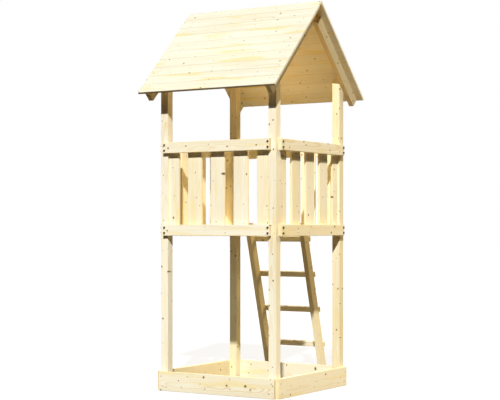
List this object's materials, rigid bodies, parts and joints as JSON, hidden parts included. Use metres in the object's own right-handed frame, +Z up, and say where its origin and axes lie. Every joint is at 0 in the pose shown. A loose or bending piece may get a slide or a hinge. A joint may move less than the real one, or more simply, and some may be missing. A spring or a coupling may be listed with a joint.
{
  "type": "wooden climbing frame",
  "caption": "Square wooden garden climbing frame: posts carry a sandbox frame at the ground, a slatted deck with a leaning ladder behind, and an open gable roof of boards.",
  "frame": {"origin": "on the ground, under the middle of the box round the whole part", "axes": "+Z up; +X to the right along the front wall; +Y from the front to the ladder at the back"},
  "size_m": [1.194, 1.6068, 2.91],
  "materials": {
    "post_wood": "planed, untreated, pale spruce",
    "board_wood": "planed, untreated, pale spruce",
    "roof_wood": "planed tongue and groove boards, untreated",
    "deck_wood": "planed, untreated, pale spruce",
    "screw_steel": "dark, dull"
  },
  "bodies": {
    "root": {"post_front_left": "post_wood", "post_front_right": "post_wood", "post_back_right": "post_wood", "post_back_left": "post_wood", "sand_board_front": "board_wood", "sand_board_right": "board_wood", "sand_board_back": "board_wood", "sand_board_left": "board_wood", "lower_rail_front": "post_wood", "lower_rail_right": "post_wood", "lower_rail_back": "post_wood", "lower_rail_left": "post_wood", "upper_rail_front": "post_wood", "upper_rail_right": "post_wood", "upper_rail_back": "post_wood", "upper_rail_left": "post_wood", "slat_front_1": "board_wood", "slat_front_2": "board_wood", "slat_front_3": "board_wood", "slat_front_4": "board_wood", "slat_front_5": "board_wood", "slat_right_1": "board_wood", "slat_right_2": "board_wood", "slat_right_3": "board_wood", "slat_right_4": "board_wood", "slat_right_5": "board_wood", "slat_back_1": "board_wood", "slat_back_2": "board_wood", "slat_left_1": "board_wood", "slat_left_2": "board_wood", "slat_left_3": "board_wood", "slat_left_4": "board_wood", "slat_left_5": "board_wood", "deck_board_1": "deck_wood", "deck_board_2": "deck_wood", "deck_board_3": "deck_wood", "deck_board_4": "deck_wood", "deck_board_5": "deck_wood", "deck_board_6": "deck_wood", "deck_board_7": "deck_wood", "deck_board_8": "deck_wood", "deck_board_9": "deck_wood", "deck_board_10": "deck_wood", "deck_bearer_left": "post_wood", "deck_bearer_right": "post_wood", "deck_bearer_middle": "post_wood", "rafter_front_left": "post_wood", "rafter_front_right": "post_wood", "rafter_back_right": "post_wood", "rafter_back_left": "post_wood", "roof_front": "roof_wood", "roof_back": "roof_wood", "ladder_side_left": "post_wood", "ladder_side_right": "post_wood", "ladder_rung_1": "board_wood", "ladder_rung_2": "board_wood", "ladder_rung_3": "board_wood", "ladder_rung_4": "board_wood", "coach_screws": "screw_steel"}
  },
  "joints": []
}
